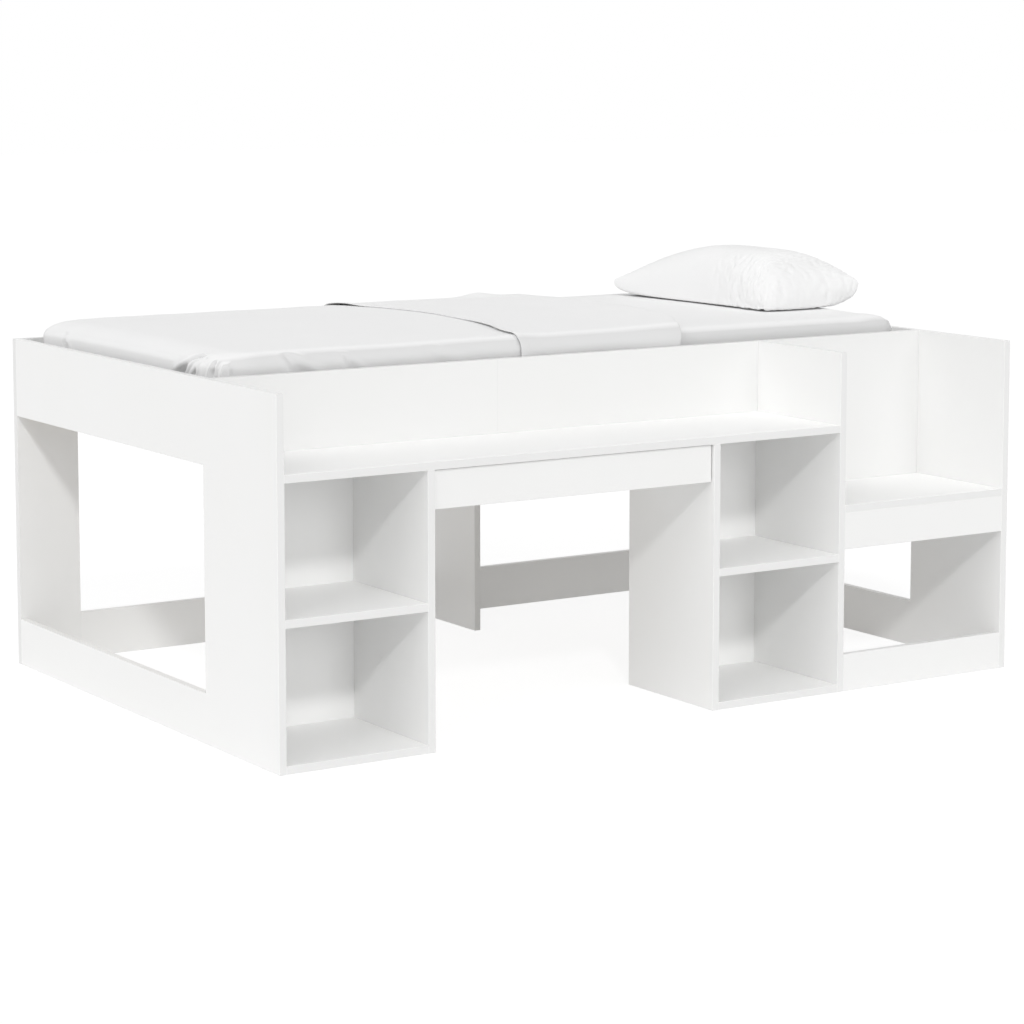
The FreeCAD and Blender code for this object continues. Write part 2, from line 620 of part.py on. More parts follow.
os.makedirs("parts", exist_ok=True)
for node in nodes:
    node.Shape.exportStep("parts/%s.step" % node.Label)
print("%d sub-parts" % len(nodes))
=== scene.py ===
import json
import math

import bmesh
import bpy
import numpy as np
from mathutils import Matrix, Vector, noise


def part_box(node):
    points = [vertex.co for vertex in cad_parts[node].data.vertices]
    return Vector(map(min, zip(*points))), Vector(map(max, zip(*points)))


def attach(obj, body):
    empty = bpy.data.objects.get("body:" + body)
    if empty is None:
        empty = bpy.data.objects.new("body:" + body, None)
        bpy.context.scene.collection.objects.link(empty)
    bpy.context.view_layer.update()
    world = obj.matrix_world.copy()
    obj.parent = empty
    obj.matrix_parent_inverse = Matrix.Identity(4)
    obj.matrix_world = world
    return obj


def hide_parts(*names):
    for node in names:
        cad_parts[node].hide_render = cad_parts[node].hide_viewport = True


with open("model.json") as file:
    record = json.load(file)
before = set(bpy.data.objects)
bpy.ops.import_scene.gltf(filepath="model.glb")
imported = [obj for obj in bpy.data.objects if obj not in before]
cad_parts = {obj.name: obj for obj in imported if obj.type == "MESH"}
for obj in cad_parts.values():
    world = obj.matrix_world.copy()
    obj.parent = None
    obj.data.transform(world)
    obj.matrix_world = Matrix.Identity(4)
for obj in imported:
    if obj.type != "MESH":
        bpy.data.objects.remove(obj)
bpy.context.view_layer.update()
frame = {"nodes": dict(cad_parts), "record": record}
NODES = frame["nodes"]
scene = bpy.context.scene
scene.view_settings.view_transform = "Standard"

# Node material helpers


def new_material(name):
    """A node material with a plain surface shader, its node tree and that shader."""
    mat = bpy.data.materials.new(name)
    mat.use_nodes = True
    tree = mat.node_tree
    tree.nodes.clear()
    out = tree.nodes.new("ShaderNodeOutputMaterial")
    surface = tree.nodes.new("ShaderNodeBsdfPrincipled")
    tree.links.new(surface.outputs["BSDF"], out.inputs["Surface"])
    return mat, tree, surface


def feed(tree, value, socket):
    """Links a socket to an input, or sets a plain value on it."""
    if isinstance(value, bpy.types.NodeSocket):
        tree.links.new(value, socket)
    else:
        socket.default_value = value


def place(tree, kind="Object", scale=(1, 1, 1)):
    """Texture coordinates of one kind, stretched."""
    coord = tree.nodes.new("ShaderNodeTexCoord")
    mapping = tree.nodes.new("ShaderNodeMapping")
    mapping.inputs["Scale"].default_value = scale
    tree.links.new(coord.outputs[kind], mapping.inputs["Vector"])
    return mapping.outputs["Vector"]


def noise_of(tree, where, scale, detail=2.0, rough=0.5, warp=0.0):
    node = tree.nodes.new("ShaderNodeTexNoise")
    node.inputs["Scale"].default_value = scale
    node.inputs["Detail"].default_value = detail
    node.inputs["Roughness"].default_value = rough
    node.inputs["Distortion"].default_value = warp
    tree.links.new(where, node.inputs["Vector"])
    return node.outputs["Fac"]


def math_of(tree, operation, first, second=0.0, third=0.0):
    node = tree.nodes.new("ShaderNodeMath")
    node.operation = operation
    for value, socket in zip((first, second, third), node.inputs):
        feed(tree, value, socket)
    return node.outputs["Value"]


def spread(tree, value, low, high, to_low, to_high):
    """Maps a value from one range to another, clamped."""
    node = tree.nodes.new("ShaderNodeMapRange")
    for given, name in (
        (value, "Value"),
        (low, "From Min"),
        (high, "From Max"),
        (to_low, "To Min"),
        (to_high, "To Max"),
    ):
        feed(tree, given, node.inputs[name])
    return node.outputs["Result"]


def mix_colour(tree, share, first, second):
    node = tree.nodes.new("ShaderNodeMix")
    node.data_type = "RGBA"
    feed(tree, share, node.inputs[0])
    feed(tree, first, node.inputs[6])
    feed(tree, second, node.inputs[7])
    return node.outputs[2]


def mix_value(tree, share, first, second):
    node = tree.nodes.new("ShaderNodeMix")
    feed(tree, share, node.inputs[0])
    feed(tree, first, node.inputs[2])
    feed(tree, second, node.inputs[3])
    return node.outputs[0]


def bump_of(tree, height, strength, distance, before=None):
    node = tree.nodes.new("ShaderNodeBump")
    node.inputs["Strength"].default_value = strength
    node.inputs["Distance"].default_value = distance
    tree.links.new(height, node.inputs["Height"])
    if before is not None:
        tree.links.new(before, node.inputs["Normal"])
    return node.outputs["Normal"]


def grey(level, warm=0.0):
    """A white of that level, a little yellow by warm."""
    return (level, level, level - warm, 1.0)


# Board, wood, metal and cloth materials

AXES = ((1, 0, 0), (0, 1, 0), (0, 0, 1))


def facing(tree, axis, low=0.65, high=0.75):
    """1 where the surface faces along an axis, else 0, with a soft step from low to high."""
    coord = tree.nodes.new("ShaderNodeTexCoord")
    dot = tree.nodes.new("ShaderNodeVectorMath")
    dot.operation = "DOT_PRODUCT"
    tree.links.new(coord.outputs["Normal"], dot.inputs[0])
    dot.inputs[1].default_value = AXES[axis]
    side = math_of(tree, "ABSOLUTE", dot.outputs["Value"])
    return spread(tree, side, low, high, 0.0, 1.0)


def board_material(name, axis, face, edge, front, gloss):
    """White faced board: pearl texture on the faces and smooth edging.

    face, edge and front are the levels of its faces, of its narrow sides, and of the narrow
    sides that face front or back; front is darker, as painted shade on those narrow sides.
    """
    mat, tree, surface = new_material(name)
    where = place(tree)
    cloud = noise_of(tree, where, 3.0, 3.0)
    pearl = noise_of(tree, where, 420.0, 2.0, 0.6)
    is_face = facing(tree, axis, 0.55, 0.85)
    mottle = spread(tree, cloud, 0.3, 0.7, 0.0, 1.0)
    face_colour = mix_colour(tree, mottle, grey(face, 0.005), grey(face - 0.008, 0.008))
    # Painted shade: narrow sides that face front or back are darker than the other narrow sides.
    narrow = mix_colour(tree, facing(tree, 1, 0.55, 0.85), grey(edge, 0.005), grey(front, 0.005))
    edge_colour = mix_colour(tree, mottle, narrow, mix_colour(tree, 0.012, narrow, grey(0.0)))
    feed(tree, mix_colour(tree, is_face, edge_colour, face_colour), surface.inputs["Base Color"])
    face_rough = spread(tree, pearl, 0.3, 0.7, gloss, gloss + 0.12)
    edge_rough = spread(tree, cloud, 0.3, 0.7, gloss - 0.10, gloss - 0.04)
    feed(tree, mix_value(tree, is_face, edge_rough, face_rough), surface.inputs["Roughness"])
    height = math_of(tree, "MULTIPLY", pearl, is_face)
    feed(tree, bump_of(tree, height, 0.12, 0.0004), surface.inputs["Normal"])
    surface.inputs["Specular IOR Level"].default_value = 0.35
    return mat


def wood_material(name, along, light, dark, line_scale, gloss):
    """Plain sawn wood with its grain along one axis, darker late-wood lines and fine pores."""
    mat, tree, surface = new_material(name)
    stretch = [1.0, 1.0, 1.0]
    stretch[along] = 0.06
    where = place(tree, scale=stretch)
    rings = noise_of(tree, where, line_scale, 4.0, 0.55, 0.6)
    pores = noise_of(tree, where, line_scale * 14.0, 2.0, 0.6)
    lines = math_of(tree, "PINGPONG", math_of(tree, "MULTIPLY", rings, 9.0), 0.5)
    share = spread(tree, lines, 0.05, 0.5, 0.0, 1.0)
    tone = mix_colour(tree, share, dark, light)
    flecks = spread(tree, pores, 0.35, 0.6, 0.0, 1.0)
    feed(tree, mix_colour(tree, flecks, dark, tone), surface.inputs["Base Color"])
    feed(tree, spread(tree, pores, 0.3, 0.7, gloss + 0.12, gloss), surface.inputs["Roughness"])
    height = math_of(tree, "ADD", pores, math_of(tree, "MULTIPLY", share, 0.6))
    feed(tree, bump_of(tree, height, 0.25, 0.0006), surface.inputs["Normal"])
    surface.inputs["Specular IOR Level"].default_value = 0.3
    return mat


def metal_material(name, colour, worn, metallic, gloss, grain):
    """Coated or plated steel with a fine grain and slightly uneven gloss."""
    mat, tree, surface = new_material(name)
    where = place(tree)
    cloud = noise_of(tree, where, 45.0, 3.0)
    fine = noise_of(tree, where, grain, 2.0, 0.55)
    share = spread(tree, cloud, 0.3, 0.7, 0.0, 1.0)
    feed(tree, mix_colour(tree, share, colour, worn), surface.inputs["Base Color"])
    feed(tree, spread(tree, fine, 0.3, 0.7, gloss, gloss + 0.15), surface.inputs["Roughness"])
    feed(tree, bump_of(tree, fine, 0.15, 0.0003), surface.inputs["Normal"])
    surface.inputs["Metallic"].default_value = metallic
    return mat


def threads_of(tree, where, direction, weave):
    """Threads that lie side by side along one direction."""
    wave = tree.nodes.new("ShaderNodeTexWave")
    wave.bands_direction = direction
    wave.inputs["Scale"].default_value = weave
    wave.inputs["Distortion"].default_value = 1.2
    wave.inputs["Detail"].default_value = 2.0
    wave.inputs["Detail Scale"].default_value = 1.5
    tree.links.new(where, wave.inputs["Vector"])
    return wave.outputs["Fac"]


def cloth_material(name, top, side, end, weave, cloud_scale, sheen, cut=True):
    """Woven cloth: crossed threads by the flat cut or by place, soft tone changes, fine fuzz.

    top, side and end are its levels where it lies, where it hangs, and where it faces y: painted
    light and shade, lighter on top, darker on the sides and darkest where it faces y.
    """
    mat, tree, surface = new_material(name)
    where = place(tree)
    cloud = noise_of(tree, where, cloud_scale, 3.0, 0.55)
    fuzz = noise_of(tree, where, 900.0, 2.0, 0.6)
    if cut:
        flat = place(tree, "UV")
        warp, weft = threads_of(tree, flat, "X", weave), threads_of(tree, flat, "Y", weave)
    else:
        lines = [threads_of(tree, where, direction, weave) for direction in "XYZ"]
        warp = mix_value(tree, facing(tree, 0), lines[0], lines[1])
        weft = mix_value(tree, facing(tree, 2), lines[2], lines[1])
    cross = math_of(tree, "MULTIPLY", warp, weft)
    share = spread(tree, cloud, 0.3, 0.7, 0.0, 1.0)
    # Painted light and shade: the cloth is lighter where it lies, darker where it hangs and darkest
    # where it faces y.
    lit_top_share = facing(tree, 2, 0.75, 0.98)
    upright = mix_colour(tree, facing(tree, 1, 0.15, 0.50), grey(side), grey(end))
    level = mix_colour(tree, lit_top_share, upright, grey(top))
    tone = mix_colour(tree, share, level, mix_colour(tree, 0.012, level, grey(0.0)))
    # Painted shade: the gaps between the crossed threads are darkened.
    thread_gap_shade = spread(tree, cross, 0.0, 0.5, 1.0, 0.0)
    thread_gap_shade = math_of(tree, "MULTIPLY", thread_gap_shade, 0.15)
    feed(tree, mix_colour(tree, thread_gap_shade, tone, grey(side - 0.06)), surface.inputs["Base Color"])
    feed(tree, spread(tree, fuzz, 0.3, 0.7, 0.82, 0.96), surface.inputs["Roughness"])
    first = bump_of(tree, cross, 0.10, 0.0004)
    feed(tree, bump_of(tree, fuzz, 0.06, 0.0003, first), surface.inputs["Normal"])
    surface.inputs["Sheen Weight"].default_value = sheen
    surface.inputs["Sheen Roughness"].default_value = 0.5
    surface.inputs["Specular IOR Level"].default_value = 0.2
    return mat


PINE_LIGHT = (0.84, 0.785, 0.70, 1)
PINE_DARK = (0.73, 0.66, 0.565, 1)
BEECH_LIGHT = (0.66, 0.46, 0.29, 1)
BEECH_DARK = (0.50, 0.31, 0.17, 1)
STEEL_BRIGHT = (0.62, 0.62, 0.60, 1)
STEEL_DULL = (0.52, 0.53, 0.54, 1)

# Board levels by the axis that a board is thin along, set by fit to the photograph.
# Painted light and shade: board faces are lighter or darker by the axis that a board is thin along.
# The tops are lightest and the front-facing boards darkest.
BOARD_SHADED_LEVELS = {"x": 0.91, "y": 0.83, "z": 0.96}
EDGE_LESS = 0.02
# Painted shade on the narrow sides that face front or back.
FRONT_EDGE_SHADE = 0.775
PANEL_LEVEL, PANEL_EDGE = 0.96, 0.92
SHADED_BOARDS = [
    board_material(f"white_board_{n}", i, level, level - EDGE_LESS, FRONT_EDGE_SHADE, gloss=0.42)
    for i, (n, level) in enumerate(BOARD_SHADED_LEVELS.items())
]
PANELS = [
    board_material(f"white_panel_{n}", i, PANEL_LEVEL, PANEL_EDGE, FRONT_EDGE_SHADE, gloss=0.46)
    for i, n in enumerate("xyz")
]
PINES = [
    wood_material(f"slat_pine_{n}", i, PINE_LIGHT, PINE_DARK, line_scale=26.0, gloss=0.55)
    for i, n in enumerate("xy")
]
BEECH = wood_material("dowel_beech", 0, BEECH_LIGHT, BEECH_DARK, line_scale=60.0, gloss=0.5)
RUNNER = metal_material(
    "runner_steel", grey(0.84), grey(0.80), metallic=0.0, gloss=0.35, grain=700.0
)
PLATED = metal_material(
    "fastener_steel", STEEL_BRIGHT, STEEL_DULL, metallic=1.0, gloss=0.28, grain=1500.0
)
# Painted light and shade in the cloths' top, side and end levels: their tops are lighter, their
# hanging sides darker, and their front and back sides darkest.
SHEET = cloth_material(
    "mattress_sheet",
    top=0.935, side=0.89, end=0.65, weave=190.0, cloud_scale=5.0, sheen=0.3, cut=False,
)
BLANKET = cloth_material(
    "blanket_cloth", top=0.955, side=0.89, end=0.69, weave=150.0, cloud_scale=4.0, sheen=0.3
)
PILLOWCASE = cloth_material(
    "pillow_cloth", top=0.955, side=0.94, end=0.835, weave=210.0, cloud_scale=6.0, sheen=0.10
)

SLOT_OF = {s["node"]: s["material_slot"] for s in frame["record"]["subparts"]}
OTHER_FINISHES = {"dowel_beech": BEECH, "runner_steel": RUNNER, "fastener_steel": PLATED}


def finish_of(node):
    """The material of a CAD node, by the record's slot and by which way its board lies."""
    low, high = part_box(node)
    size = list(high - low)
    thin, long = size.index(min(size)), size.index(max(size))
    kind = SLOT_OF[node]
    if kind == "white_board":
        return SHADED_BOARDS[thin]
    if kind == "white_panel":
        return PANELS[thin]
    if kind == "slat_pine":
        return PINES[min(long, 1)]
    return OTHER_FINISHES.get(kind, SHEET)


for node_name, node in NODES.items():
    finish = finish_of(node_name)
    node.data.materials.clear()
    node.data.materials.append(finish)

# Mesh helpers for the bedding


def mesh_object(name, verts, faces, uvs=None, smooth=True):
    """A new mesh object in the scene; uvs gives each vertex's place on the flat cut."""
    mesh = bpy.data.meshes.new(name)
    mesh.from_pydata([tuple(v) for v in verts], [], faces)
    if uvs is not None:
        layer = mesh.uv_layers.new(name="cut")
        index = np.zeros(len(mesh.loops), int)
        mesh.loops.foreach_get("vertex_index", index)
        layer.data.foreach_set("uv", np.asarray(uvs, float)[index].ravel())
    if smooth:
        mesh.polygons.foreach_set("use_smooth", [True] * len(mesh.polygons))
    mesh.update()
    obj = bpy.data.objects.new(name, mesh)
    scene.collection.objects.link(obj)
    return obj


def coords(obj):
    co = np.zeros(len(obj.data.vertices) * 3)
    obj.data.vertices.foreach_get("co", co)
    return co.reshape(-1, 3)


def set_coords(obj, co):
    obj.data.vertices.foreach_set("co", np.asarray(co, float).ravel())
    obj.data.update()


def smoothstep(x, low, high):
    t = np.clip((np.asarray(x, float) - low) / (high - low), 0, 1)
    return t * t * (3 - 2 * t)


def ripple(points, scale, seed):
    """Smooth noise from -1 to 1 at each point, the same each run."""
    shift = Vector((seed * 17.3, seed * 5.1, seed * 11.7))
    return np.array([noise.noise(Vector(p) * scale + shift) for p in points])


def grid_faces(rows, cols):
    r, c = np.meshgrid(np.arange(rows - 1), np.arange(cols - 1), indexing="ij")
    a = (r * cols + c).ravel()
    return np.stack([a, a + cols, a + cols + 1, a + 1], 1).tolist()


MATTRESS_LOW, MATTRESS_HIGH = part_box("mattress")
BLANKET_LOW, BLANKET_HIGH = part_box("blanket")
PILLOW_LOW, PILLOW_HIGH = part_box("pillow")

# The blanket is one sheet, tucked in at the foot and both sides and folded back at its head end.
# FOLD and HEM are the lines of the fold and of the free hem, x at each y. Lengths are in metres.
CLOTH_THICK = 0.0020
SIDE_OUT = 0.038
FOOT_OUT = 0.085
SHOULDER_DOWN = 0.034
CORNER_ROUND = 0.045
CROWN = 0.006
DROP = 0.085
FOLD_RADIUS = 0.0036
FOLD_FLATTER, FLATTER_RUN = 0.6, (0.35, 0.60)
LAID, LAID_RUN = 0.0024, (0.01, 0.20)
SINK = 0.0080
SINK_RUN = (0.16, 0.015)
EASE_POINTS, EASE_HALF = 240, 12


def eased(y, places, values):
    """A smooth line through rough points: straight between them, then averaged."""
    fine = np.linspace(places[0], places[-1], EASE_POINTS)
    line = np.interp(fine, places, values)
    width = 2 * EASE_HALF + 1
    kernel = np.ones(width) / width
    line = np.convolve(np.pad(line, EASE_HALF, mode="edge"), kernel, mode="valid")
    return np.interp(y, fine, line)


FOLD_Y = np.array([-0.450, -0.332, -0.264, -0.180, 0.000, 0.300, 0.561, 0.700])
FOLD_X = np.array([0.255, 0.270, 0.304, 0.362, 0.392, 0.410, 0.423, 0.425])
HEM_Y = np.array(
    [-0.450, -0.332, -0.250, -0.136, 0.046, 0.239, 0.373, 0.507, 0.584, 0.640, 0.750]
)
HEM_X = np.array(
    [-0.185, -0.187, -0.186, -0.146, -0.106, -0.090, -0.098, -0.124, -0.142, -0.172, -0.178]
)


def quarter_profile(e):
    """Outward and downward travel at arc length e past the edge of the flat top."""
    turn = np.linspace(0, math.pi / 2, 91)
    out = SIDE_OUT * np.sin(turn)
    down = SHOULDER_DOWN * (1 - np.cos(turn))
    arc = np.concatenate([[0], np.cumsum(np.hypot(np.diff(out), np.diff(down)))])
    e = np.asarray(e, float)
    past = np.maximum(e - arc[-1], 0)
    return np.interp(e, arc, out), np.interp(e, arc, down) + past, np.interp(e, arc, turn)


def lid(a, b):
    """Places flat points a (along x) and b (along y) on the made bed; gives points and normals."""
    half = (BLANKET_HIGH.y - BLANKET_LOW.y) / 2 - SIDE_OUT
    middle = (BLANKET_HIGH.y + BLANKET_LOW.y) / 2
    foot = BLANKET_LOW.x + FOOT_OUT
    dx = np.minimum(a - (foot + CORNER_ROUND), 0)
    dy = np.maximum(np.abs(b - middle) - (half - CORNER_ROUND), 0)
    way = np.sign(b - middle)
    reach = np.hypot(dx, dy)
    past = np.maximum(reach - CORNER_ROUND, 0)
    nx = dx / np.maximum(reach, 1e-9)
    ny = way * dy / np.maximum(reach, 1e-9)
    out, down, turn = quarter_profile(past)
    wider = 1 + (FOOT_OUT / SIDE_OUT - 1) * nx ** 2
    x = a - nx * past + nx * out * wider
    y = b - ny * past + ny * out * wider
    bow = ((b - middle) / (half + SIDE_OUT)).clip(-1, 1) ** 2
    z = BLANKET_HIGH.z - CLOTH_THICK / 2 - CROWN * bow - down
    lean = np.sin(turn)
    normal = np.stack([nx * lean, ny * lean, np.cos(turn)], -1)
    return np.stack([x, y, z], -1), normal


def spaced(places, steps):
    """Even steps from each place to the next, each stretch with its own step."""
    parts = [
        np.linspace(start, stop, round((stop - start) / step), endpoint=False)
        for start, stop, step in zip(places, places[1:], steps)
    ]
    return np.concatenate(parts + [places[-1:]])


SIDE_ARC = 0.0566  # length of the cloth round a shoulder
TUCK = DROP - SHOULDER_DOWN
flat_foot = BLANKET_LOW.x + FOOT_OUT - SIDE_ARC - TUCK
flat_front = BLANKET_LOW.y + SIDE_OUT - SIDE_ARC - TUCK
flat_back = BLANKET_HIGH.y - SIDE_OUT + SIDE_ARC + TUCK

# Finer steps near the front side and the foot, where the cloth is gathered, and at the hem.
across = spaced([flat_front, -0.15, 0.50, flat_back], [0.0025, 0.010, 0.005])
under = spaced([flat_foot, -0.88, -0.60, 0.0], [0.0025, 0.005, 0.010])
NO_HEM = 9.0
turn_steps = np.linspace(0, math.pi, 9)[1:-1]
back_share = np.concatenate([np.linspace(0, 0.92, 48)[:-1], np.linspace(0.92, 1, 14)])
rows = []
for b in across:
    fx, hx = float(eased(b, FOLD_Y, FOLD_X)), float(eased(b, HEM_Y, HEM_X))
    lower = np.concatenate([under, np.linspace(0.0, fx, 30)[1:]])
    upper = fx + (hx - fx) * back_share
    radius = FOLD_RADIUS * (1 - FOLD_FLATTER * float(smoothstep(b, *FLATTER_RUN)))
    a = np.concatenate([lower, fx + radius * np.sin(turn_steps), upper])
    # The lower layer sinks onto the mattress before the fold, so the roll there is taller.
    sink = SINK * float(lid(np.array([fx]), np.array([b]))[1][0, 2]) ** 2
    sunk = smoothstep(lower, fx - SINK_RUN[0], fx - SINK_RUN[1])
    half_roll = radius + sink / 2
    raised = half_roll * (1 - np.cos(turn_steps)) - sink
    settled = 2 * radius + (LAID - 2 * radius) * smoothstep(fx - upper, *LAID_RUN)
    lift = np.concatenate([-sink * sunk, raised, settled])
    free = np.concatenate([1 - sunk, turn_steps / math.pi, np.ones(len(upper))])
    around = math.pi * math.hypot(radius, half_roll) / math.sqrt(2)
    travel = np.concatenate([lower, fx + around * turn_steps / math.pi, fx + around + (fx - upper)])
    to_hem = np.concatenate([np.full(len(lower) + len(turn_steps), NO_HEM), upper - hx])
    rows.append((a, np.full(len(a), b), lift, travel, to_hem, free))
flat_a, flat_b, lift, cut, to_hem, free = (np.array([r[k] for r in rows]) for k in range(6))
spots, normals = lid(flat_a, flat_b)
n_rows, n_cols = flat_a.shape

# Slow swells that both layers share, then the free hem: a little thicker, and lifted in places.
BLANKET_SWELLS = ((0.0016, 4.0, 1), (0.0008, 11.0, 2))  # height, scale and seed
HEM_WIDE, HEM_STEP, HEM_THICKER = 0.022, 0.002, 0.0004
STITCH_DEEP, STITCH_WIDE = 0.0006, 0.003
BACK_LIFT, BACK_LIFT_AT, BACK_LIFT_WIDE = 0.0060, 0.585, 0.055
FRONT_LIFT, FRONT_LIFT_RUN = 0.0045, (-0.08, 0.18)
LIFT_FADE = 0.040
PUFF_X, PUFF_Y, PUFF_WIDE = 0.295, 0.620, 0.045
PUFF_UPPER, PUFF_LOWER = 0.010, 0.004
base = np.stack([flat_a, flat_b, np.zeros_like(flat_a)], -1).reshape(-1, 3)
swell = sum(high * ripple(base, scale, seed) for high, scale, seed in BLANKET_SWELLS)
lift = lift + free * swell.reshape(flat_a.shape)
is_band = to_hem < NO_HEM
lift += is_band * HEM_THICKER * smoothstep(-to_hem, -HEM_WIDE - HEM_STEP, -HEM_WIDE + HEM_STEP)
lift -= is_band * STITCH_DEEP * np.exp(-(((to_hem - HEM_WIDE) / STITCH_WIDE) ** 2))
opened = BACK_LIFT * np.exp(-(((flat_b - BACK_LIFT_AT) / BACK_LIFT_WIDE) ** 2))
opened += FRONT_LIFT * smoothstep(-flat_b, *FRONT_LIFT_RUN)
lift += is_band * opened * np.exp(-((to_hem / LIFT_FADE) ** 2))
puff = np.exp(-(((flat_a - PUFF_X) / PUFF_WIDE) ** 2) - (((flat_b - PUFF_Y) / PUFF_WIDE) ** 2))
lift += np.where(is_band, PUFF_UPPER, PUFF_LOWER) * puff

spots = spots + normals * lift[..., None]


def crease(points, ways, start, end, width, depth, steep=1.0, overlap=0.0):
    """Presses a line into the cloth with soft swells beside it; it narrows and fades upwards.

    steep below 1 makes one side that much narrower, and overlap draws that side over the line.
    """
    start, end = np.array(start), np.array(end)
    along = end - start
    share = np.clip(((points - start) @ along) / (along @ along), 0, 1)
    apart = points - (start + share[..., None] * along)
    near = np.linalg.norm(apart, axis=-1)
    side = np.sum(apart * np.cross(along, ways), axis=-1)
    off = near / (width * (1.25 - 0.8 * share)) / np.where(side > 0, steep, 1.0)
    fade = 1 - 0.75 * share ** 2
    dip = np.exp(-(off ** 2)) - 0.45 * np.exp(-((off - 1.9) ** 2) / 0.7)
    points = points - ways * (depth * fade * dip)[..., None]
    if overlap:
        over = np.cross(along, ways)
        over = over / np.maximum(np.linalg.norm(over, axis=-1, keepdims=True), 1e-9)
        near_edge = np.where(side > 0, np.exp(-(((off - 2.0) / 1.2) ** 2)), 0)
        points = points - over * (overlap * fade * near_edge)[..., None]
    return points


# Gathers at the front foot corner, a few drags along the front side, one fold at the back corner:
# start, end, width and depth of each, then how steep its one side is and how far that laps over.
CREASES = [
    ((-0.984, -0.150, 0.797), (-0.955, -0.258, 0.862), 0.010, 0.020, 0.6),
    ((-0.985, -0.215, 0.795), (-0.962, -0.262, 0.848), 0.006, 0.010, 0.7),
    ((-0.980, -0.292, 0.785), (-0.955, -0.290, 0.850), 0.006, 0.012, 1.0),
    ((-0.966, -0.322, 0.785), (-0.950, -0.308, 0.850), 0.006, 0.012, 1.0),
    ((-0.946, -0.338, 0.785), (-0.948, -0.322, 0.856), 0.011, 0.026, 0.5, 0.010),
    ((-0.755, -0.338, 0.795), (-0.806, -0.325, 0.860), 0.015, 0.009, 1.0),
    ((-0.620, -0.338, 0.795), (-0.658, -0.330, 0.852), 0.011, 0.006, 0.8),
    ((-0.984, 0.440, 0.790), (-0.970, 0.476, 0.853), 0.006, 0.012, 1.0),
    ((-0.400, -0.338, 0.795), (-0.430, -0.330, 0.848), 0.020, 0.004, 1.0),
]
for line in CREASES:
    spots = crease(spots, normals, *line)
blanket = mesh_object(
    "blanket_sheet",
    spots.reshape(-1, 3),
    grid_faces(n_rows, n_cols),
    np.stack([cut, flat_b], -1).reshape(-1, 2),
)
thick = blanket.modifiers.new("thickness", "SOLIDIFY")
thick.thickness = CLOTH_THICK
thick.offset = 0.0
blanket.data.materials.append(BLANKET)
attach(blanket, "frame")
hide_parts("blanket", "blanket_turndown")

# Mattress with its fitted sheet


def rounded_block(low, high, plan_round, edge_round):
    """A block with rounded upright corners and rounded top and bottom edges."""
    bm = bmesh.new()
    bmesh.ops.create_cube(bm, size=1.0)
    size, middle = high - low, (high + low) / 2
    for v in bm.verts:
        v.co = Vector((v.co.x * size.x, v.co.y * size.y, v.co.z * size.z)) + middle
    upright = [e for e in bm.edges if abs(e.verts[0].co.z - e.verts[1].co.z) > size.z / 2]
    bmesh.ops.bevel(bm, geom=upright, offset=plan_round, segments=8, affect="EDGES", profile=0.5)
    rim = [
        e for e in bm.edges
        if abs(e.verts[0].co.z - e.verts[1].co.z) < 1e-6
        and e.is_manifold
        and abs(e.link_faces[0].normal.z) + abs(e.link_faces[1].normal.z) > 0.5
        and abs(abs(e.link_faces[0].normal.z) - abs(e.link_faces[1].normal.z)) > 0.5
    ]
    bmesh.ops.bevel(bm, geom=rim, offset=edge_round, segments=8, affect="EDGES", profile=0.5)
    mesh = bpy.data.meshes.new("block")
    bm.to_mesh(mesh)
    bm.free()
    return mesh


def evaluated_copy(obj, name):
    """The mesh of an object with its modifiers applied, as a new object; the old one goes."""
    graph = bpy.context.evaluated_depsgraph_get()
    mesh = bpy.data.meshes.new_from_object(obj.evaluated_get(graph))
    mesh.name = name
    bpy.data.objects.remove(obj)
    fresh = bpy.data.objects.new(name, mesh)
    scene.collection.objects.link(fresh)
    return fresh


def calm(values, pairs, rounds):
    """Averages values with their neighbours, round by round."""
    count = np.bincount(pairs.ravel(), minlength=len(values))[:, None]
    for _ in range(rounds):
        total = np.zeros_like(values)
        np.add.at(total, pairs[:, 0], values[pairs[:, 1]])
        np.add.at(total, pairs[:, 1], values[pairs[:, 0]])
        values = (values + total / count) / 2
    return values


def edge_pairs(obj):
    pairs = np.zeros(len(obj.data.edges) * 2, int)
    obj.data.edges.foreach_get("vertices", pairs)
    return pairs.reshape(-1, 2)


def simulate(obj, frames, pressure, tension, bending, spare=None, extra=0.0):
    """Blows a closed cloth up with pressure and gives the places that its points reach.

    spare is a weight for each point: where it is 1, the cloth is larger by the share extra.
    """
    name = obj.name
    work = obj.copy()
    work.data = obj.data.copy()
    scene.collection.objects.link(work)
    cloth = work.modifiers.new("cloth", "CLOTH")
    s = cloth.settings
    s.quality = 6
    s.mass = 0.3
    s.air_damping = 2.0
    s.tension_stiffness = s.compression_stiffness = tension
    s.shear_stiffness = tension / 3
    s.bending_stiffness = bending
    s.use_pressure = True
    s.uniform_pressure_force = pressure
    s.effector_weights.gravity = 0
    if spare is not None:
        group = work.vertex_groups.new(name="spare")
        for i, weight in enumerate(spare):
            group.add([i], float(weight), "REPLACE")
        s.vertex_group_shrink = "spare"
        s.shrink_min = 0.0
        s.shrink_max = -extra
    cloth.point_cache.frame_start = 1
    cloth.point_cache.frame_end = frames
    for f in range(1, frames + 1):
        scene.frame_set(f)
    reached = evaluated_copy(work, name + "_reached")
    co = coords(reached)
    bpy.data.objects.remove(reached)
    scene.frame_set(1)
    return co


def capped(moves, most):
    """Moves that are no longer than most."""
    far = np.linalg.norm(moves, axis=1, keepdims=True)
    return moves * np.minimum(1, most / np.maximum(far, 1e-9))


def across_bed(y):
    """Place across the mattress: -1 at its front side and 1 at its back."""
    middle = (MATTRESS_LOW.y + MATTRESS_HIGH.y) / 2
    half = (MATTRESS_HIGH.y - MATTRESS_LOW.y) / 2
    return (y - middle) / half


